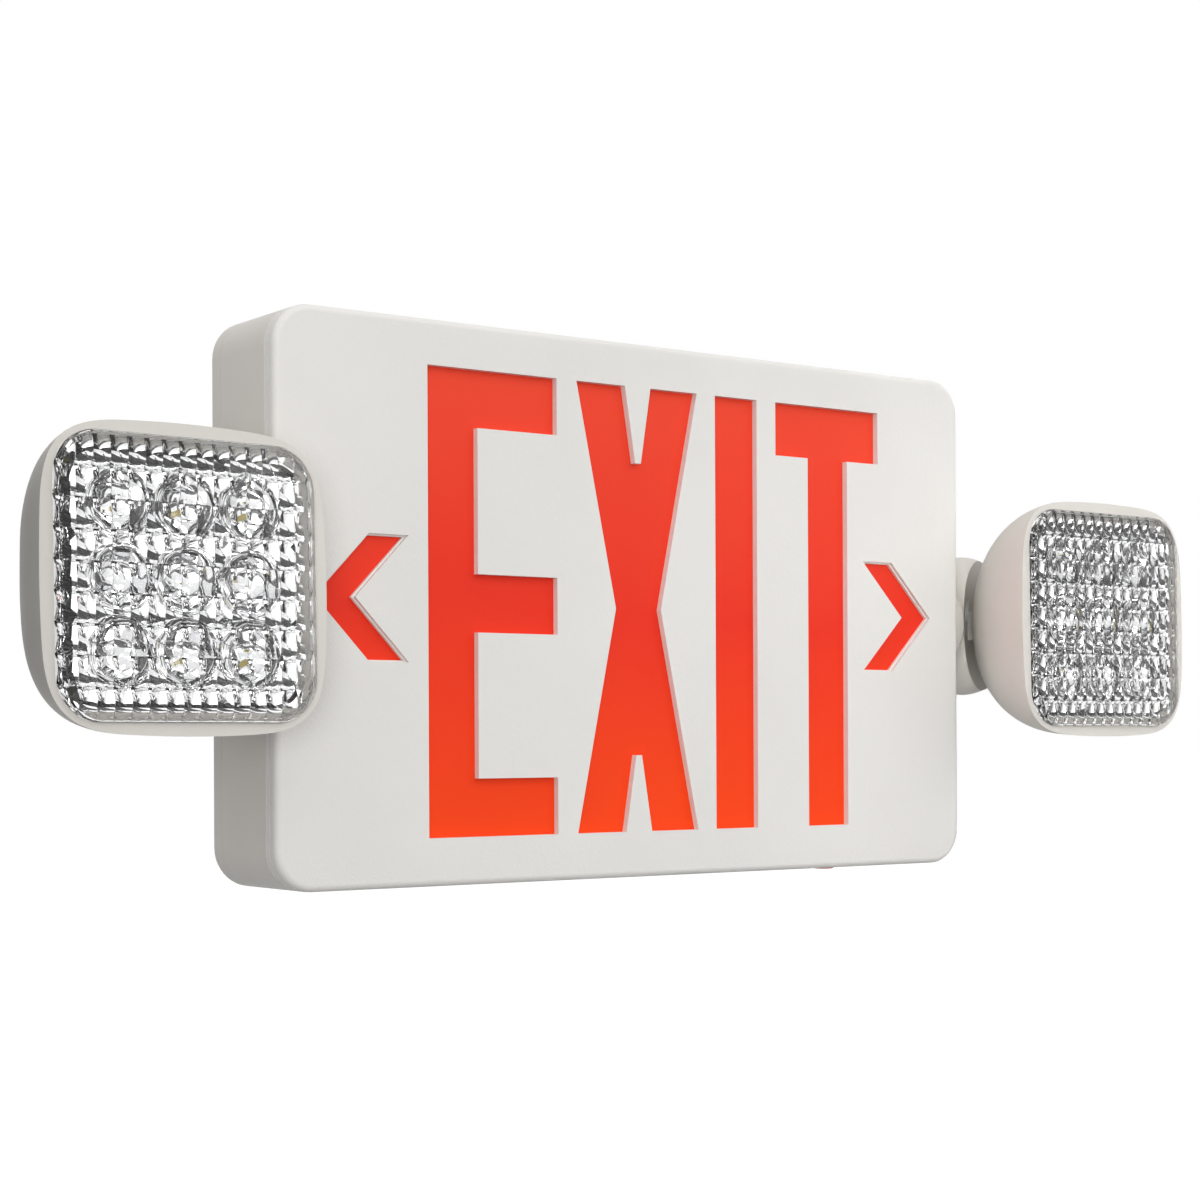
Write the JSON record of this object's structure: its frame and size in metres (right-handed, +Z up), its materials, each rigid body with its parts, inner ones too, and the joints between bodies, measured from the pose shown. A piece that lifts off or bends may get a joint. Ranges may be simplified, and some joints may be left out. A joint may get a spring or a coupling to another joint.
{
  "type": "emergency exit light",
  "caption": "Wall-mounted exit sign housing with a backlit cut-out legend, direction arrows and a dome-backed square lamp head on a cradle arm at each end",
  "frame": {"origin": "centre of the outlet-box screw holes in the back plate, on the plane that rests on the wall", "axes": "+X to the viewer's right along the sign, -Y out of the wall towards the viewer, +Z up"},
  "size_m": [0.4753, 0.0805, 0.1846],
  "materials": {
    "housing_plastic": "fine-textured off-white moulding",
    "cover_plastic": "leather-grained off-white moulding",
    "legend_red": "translucent red sheet",
    "white_enamel": "gloss white inside",
    "circuit_board": "solder mask",
    "led": "phosphor",
    "component_black": "moulded",
    "aluminium": "extruded",
    "terminal_plastic": "moulded",
    "socket_white": "moulded",
    "core_steel": "varnished laminations",
    "winding_tape": "taped coil",
    "steel": "zinc plated",
    "battery_wrap": "shrink sleeve",
    "button_plastic": "moulded",
    "pilot_lens": "green lens",
    "washer_nylon": "natural",
    "clear_lens": "clear, fluted inside",
    "clear_optic": "clear",
    "bright_reflector": "bright metallised"
  },
  "bodies": {
    "housing": {"back_plate": "housing_plastic", "housing_frame": "housing_plastic", "front_cover": "cover_plastic", "legend_panel": "legend_red", "reflector_tray": "white_enamel", "led_strip_top": "circuit_board", "led_strip_bottom": "circuit_board", "strip_leds": "led", "charger_board": "circuit_board", "capacitors": "component_black", "relay": "component_black", "heat_sink": "aluminium", "terminal_block": "terminal_plastic", "lead_sockets": "socket_white", "transformer_core": "core_steel", "transformer_winding": "winding_tape", "transformer_strap": "steel", "battery_pack": "battery_wrap", "battery_strap": "steel", "inner_screws": "steel", "tray_screws": "steel", "switch_board": "circuit_board", "test_switch": "component_black", "pilot_light": "pilot_lens", "left_friction_washer": "washer_nylon", "right_friction_washer": "washer_nylon"},
    "left_arm": {"left_arm": "housing_plastic", "left_arm_clip": "steel"},
    "left_head": {"left_head_shell": "housing_plastic", "left_lens": "clear_lens", "left_optics": "clear_optic", "left_reflector": "bright_reflector", "left_head_board": "circuit_board", "left_head_leds": "led", "left_pivot_bracket": "steel", "left_pivot_pin": "steel", "left_head_screws": "steel"},
    "right_arm": {"right_arm": "housing_plastic", "right_arm_clip": "steel"},
    "right_head": {"right_head_shell": "housing_plastic", "right_lens": "clear_lens", "right_optics": "clear_optic", "right_reflector": "bright_reflector", "right_head_board": "circuit_board", "right_head_leds": "led", "right_pivot_bracket": "steel", "right_pivot_pin": "steel", "right_head_screws": "steel"},
    "test_button": {"test_button": "button_plastic"}
  },
  "joints": [
    {"name": "left_arm_tilt", "type": "hinge", "parent": "housing", "child": "left_arm", "pos_m": [-0.155, -0.0215, 0], "axis": [1, 0, 0], "range_deg": [-28.4, 31.6]},
    {"name": "left_head_swing", "type": "hinge", "parent": "left_arm", "child": "left_head", "pos_m": [-0.192, -0.05129, 0.00083], "axis": [0, 0.0279, 0.9996], "range_deg": [-38.9, 3.1]},
    {"name": "right_arm_tilt", "type": "hinge", "parent": "housing", "child": "right_arm", "pos_m": [0.155, -0.0215, 0], "axis": [1, 0, 0], "range_deg": [-29.2, 30.8]},
    {"name": "right_head_swing", "type": "hinge", "parent": "right_arm", "child": "right_head", "pos_m": [0.192, -0.0513, 0.00042], "axis": [0, 0.014, 0.9999], "range_deg": [-8.6, 33.4]},
    {"name": "test_press", "type": "slide", "parent": "housing", "child": "test_button", "axis": [0, 0, 1], "range_m": [0, 0.002], "stiffness_N_per_m": 700, "springref_m": -0.001}
  ]
}
